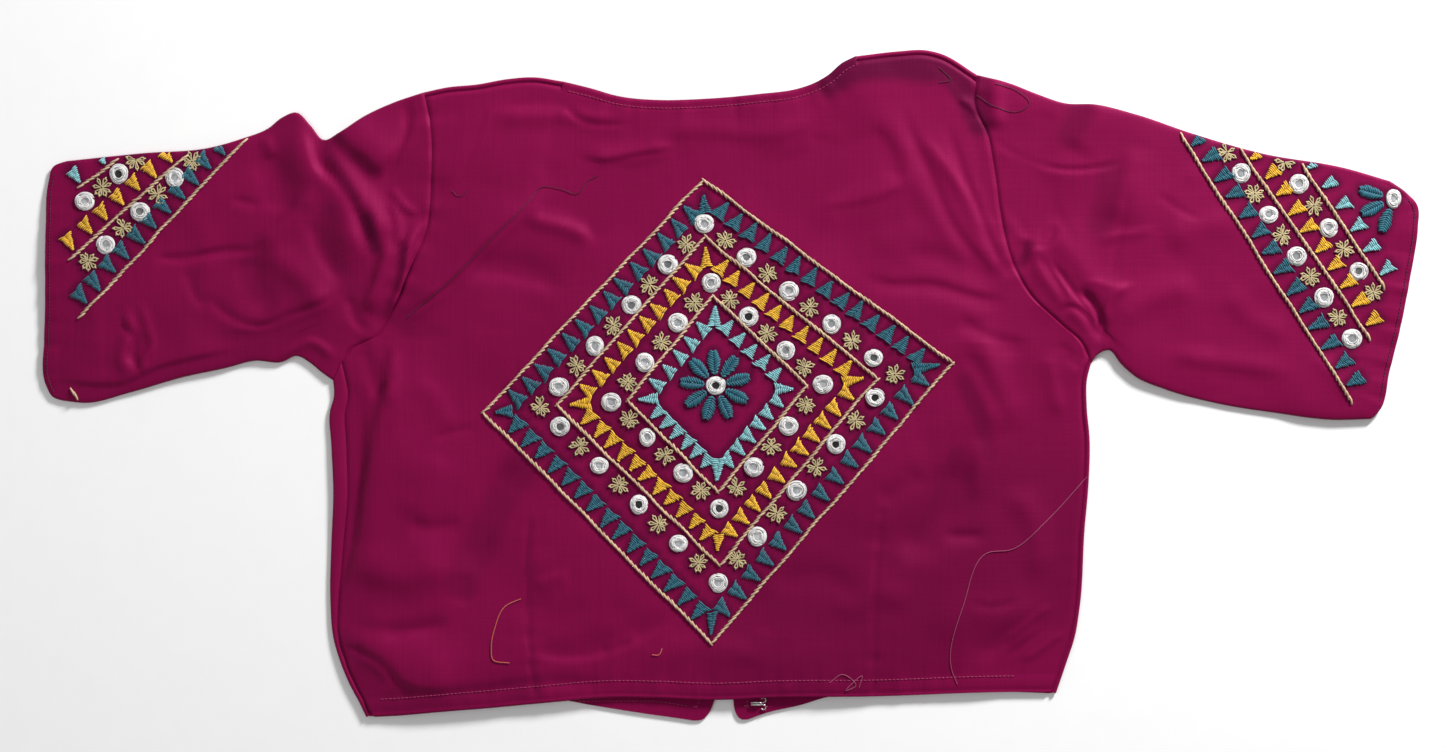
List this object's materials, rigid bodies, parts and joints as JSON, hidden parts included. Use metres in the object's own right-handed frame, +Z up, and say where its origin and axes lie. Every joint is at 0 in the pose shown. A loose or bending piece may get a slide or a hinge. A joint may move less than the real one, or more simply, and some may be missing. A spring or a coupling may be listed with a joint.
{
  "type": "choli blouse",
  "caption": "Short fitted blouse laid flat with its back up: elbow sleeves, boat neck, hooked front opening, and mirror embroidery in nested diamonds on the back and sleeves",
  "frame": {"origin": "middle of the flat underside's bounding box, on the surface that the blouse lies on", "axes": "+X from the wearer's left sleeve towards the right one, +Y from the hem towards the neck, +Z up, out of the back that faces up"},
  "size_m": [0.8394, 0.4092, 0.0094],
  "materials": {
    "cloth": "magenta silk cotton with a soft satin sheen, plain weave",
    "hook_wire": "plated steel wire"
  },
  "bodies": {
    "root": {"back": "cloth", "front_left": "cloth", "front_right": "cloth", "sleeve_left": "cloth", "sleeve_right": "cloth", "hook_1": "hook_wire", "hook_2": "hook_wire", "hook_3": "hook_wire", "hook_4": "hook_wire", "hook_5": "hook_wire", "hook_6": "hook_wire"}
  },
  "joints": []
}
